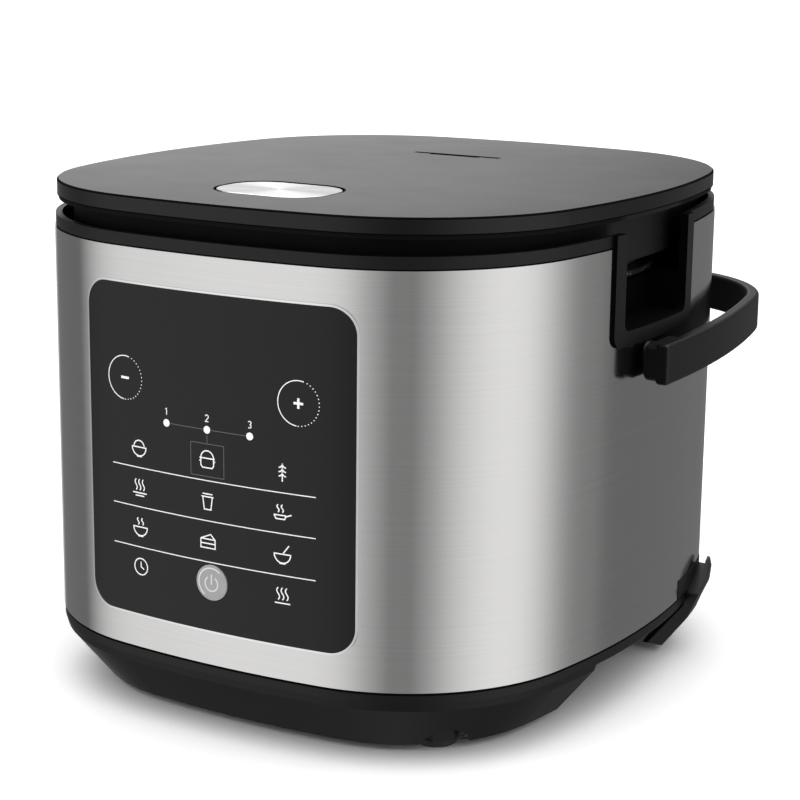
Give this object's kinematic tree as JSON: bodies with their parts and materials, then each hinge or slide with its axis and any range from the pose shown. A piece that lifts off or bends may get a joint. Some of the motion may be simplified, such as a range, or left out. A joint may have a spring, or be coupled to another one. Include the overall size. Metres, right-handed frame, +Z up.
{
  "type": "rice cooker",
  "caption": "Squarish steel-wrapped rice cooker with a black hinged lid, wide release button, front touch panel, lift-out pot, side finger recesses and a swinging carry handle.",
  "frame": {"origin": "on the floor, under the middle of the whole cooker with its handle folded back", "axes": "+Z up, -Y towards the front with the control panel, +X to the right seen from the front"},
  "size_m": [0.3146, 0.3434, 0.2453],
  "materials": {
    "black_plastic": "fine moulded texture",
    "lid_plastic": "satin",
    "inner_plastic": "moulded",
    "brushed_steel": "horizontal brushed",
    "panel_gloss": "gloss",
    "bright_trim": "polished",
    "button_metal": "radial brushed",
    "grey_key": "satin",
    "lamp": "clear lens",
    "rubber": "matt",
    "silicone": "matt",
    "pot_coating": "dark non-stick coating",
    "aluminium": "cast and spun",
    "heater_steel": "dull",
    "circuit_board": "solder mask",
    "fastener": "zinc plated",
    "contact_brass": "bright"
  },
  "bodies": {
    "housing": {"base_pan": "black_plastic", "cord_hooks": "black_plastic", "collar": "black_plastic", "side_bezel_right": "black_plastic", "side_bezel_left": "black_plastic", "handle_pivots": "black_plastic", "hinge_bracket": "black_plastic", "power_inlet": "black_plastic", "bottom_plate": "inner_plastic", "panel_carrier": "inner_plastic", "relay": "inner_plastic", "display_module": "inner_plastic", "power_switch": "inner_plastic", "body_wrap": "brushed_steel", "control_panel": "panel_gloss", "panel_trim": "bright_trim", "indicator_leds": "lamp", "rubber_feet": "rubber", "inner_pot": "pot_coating", "cooking_chamber": "aluminium", "heating_plate": "aluminium", "sensor_bracket": "aluminium", "heater_element": "heater_steel", "thermal_fuse": "heater_steel", "transformer": "heater_steel", "control_board": "circuit_board", "power_board": "circuit_board", "base_screws": "fastener", "panel_screws": "fastener", "hinge_screws": "fastener", "pivot_nuts": "fastener", "hinge_pin": "fastener", "latch_strike": "fastener", "hinge_spring": "fastener", "sensor_spring": "fastener", "inlet_pins": "contact_brass"},
    "lid": {"lid_shell": "lid_plastic", "lid_liner": "black_plastic", "lid_screws": "fastener", "inner_lid": "aluminium", "inner_lid_gasket": "silicone", "steam_valve": "inner_plastic", "button_spring": "fastener"},
    "lid_button": {"lid_button": "button_metal"},
    "latch": {"latch_hook": "inner_plastic"},
    "handle": {"carry_handle": "black_plastic"},
    "sensor": {"sensor_plunger": "aluminium"},
    "power_key": {"power_button": "grey_key"}
  },
  "joints": [
    {"name": "lid_hinge", "type": "hinge", "parent": "housing", "child": "lid", "pos_m": [0, 0.1357, 0.227], "axis": [-1, 0, 0], "range_deg": [0, 90]},
    {"name": "button_press", "type": "slide", "parent": "lid", "child": "lid_button", "axis": [0, 0, 1], "range_m": [-0.003, 0], "stiffness_N_per_m": 600, "springref_m": 0.002, "deforming": ["button_spring"]},
    {"name": "latch_slide", "type": "slide", "parent": "lid", "child": "latch", "axis": [0, 1, 0], "range_m": [0, 0.003]},
    {"name": "handle_swing", "type": "hinge", "parent": "housing", "child": "handle", "pos_m": [0, -0.0217, 0.168], "axis": [1, 0, 0], "range_deg": [0, 90]},
    {"name": "sensor_press", "type": "slide", "parent": "housing", "child": "sensor", "axis": [0, 0, 1], "range_m": [-0.002, 0], "stiffness_N_per_m": 600, "springref_m": 0.002, "deforming": ["sensor_spring"]},
    {"name": "power_press", "type": "slide", "parent": "housing", "child": "power_key", "axis": [0, 1, 0], "range_m": [0, 0.0007], "stiffness_N_per_m": 1000, "springref_m": -0.0008}
  ],
  "couplings": [
    {"joint": "latch_slide", "follows": "button_press", "ratio": -1}
  ]
}
